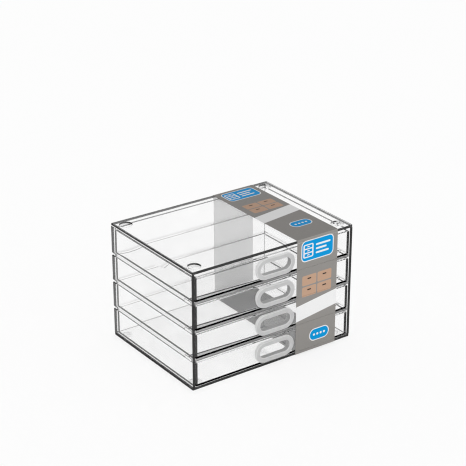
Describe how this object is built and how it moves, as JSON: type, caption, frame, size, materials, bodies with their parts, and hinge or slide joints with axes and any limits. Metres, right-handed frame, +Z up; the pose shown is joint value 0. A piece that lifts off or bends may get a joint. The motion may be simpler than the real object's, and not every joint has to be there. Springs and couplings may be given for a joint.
{
  "type": "desktop mini drawers",
  "caption": "Clear plastic desktop cabinet with sliding trays one above another, frosted finger rings, a printed sleeve, and sockets and feet for stacking.",
  "frame": {"origin": "under the middle of the whole box, on the surface that the feet stand on", "axes": "+X along the width, drawer fronts face -Y, +Z up"},
  "size_m": [0.162, 0.1222, 0.1058],
  "materials": {
    "clear_cabinet": "clear, polished",
    "clear_tray": "clear, polished",
    "frosted_ring": "frosted, translucent",
    "soft_foot": "clear, soft",
    "printed_sleeve": "satin print"
  },
  "bodies": {
    "cabinet": {"roof_panel": "clear_cabinet", "floor_panel": "clear_cabinet", "left_wall": "clear_cabinet", "right_wall": "clear_cabinet", "back_panel": "clear_cabinet", "shelf_1": "clear_cabinet", "shelf_2": "clear_cabinet", "shelf_3": "clear_cabinet", "foot_front_left": "soft_foot", "foot_front_right": "soft_foot", "foot_rear_left": "soft_foot", "foot_rear_right": "soft_foot", "cabinet_sleeve": "printed_sleeve"},
    "drawer_1": {"drawer_tray_1": "clear_tray", "pull_ring_1": "frosted_ring", "drawer_strip_1": "printed_sleeve"},
    "drawer_2": {"drawer_tray_2": "clear_tray", "pull_ring_2": "frosted_ring", "drawer_strip_2": "printed_sleeve"},
    "drawer_3": {"drawer_tray_3": "clear_tray", "pull_ring_3": "frosted_ring", "drawer_strip_3": "printed_sleeve"},
    "drawer_4": {"drawer_tray_4": "clear_tray", "pull_ring_4": "frosted_ring", "drawer_strip_4": "printed_sleeve"}
  },
  "joints": [
    {"name": "drawer_1_slide", "type": "slide", "parent": "cabinet", "child": "drawer_1", "axis": [0, -1, 0], "range_m": [0, 0.1]},
    {"name": "drawer_2_slide", "type": "slide", "parent": "cabinet", "child": "drawer_2", "axis": [0, -1, 0], "range_m": [0, 0.1]},
    {"name": "drawer_3_slide", "type": "slide", "parent": "cabinet", "child": "drawer_3", "axis": [0, -1, 0], "range_m": [0, 0.1]},
    {"name": "drawer_4_slide", "type": "slide", "parent": "cabinet", "child": "drawer_4", "axis": [0, -1, 0], "range_m": [0, 0.1]}
  ]
}
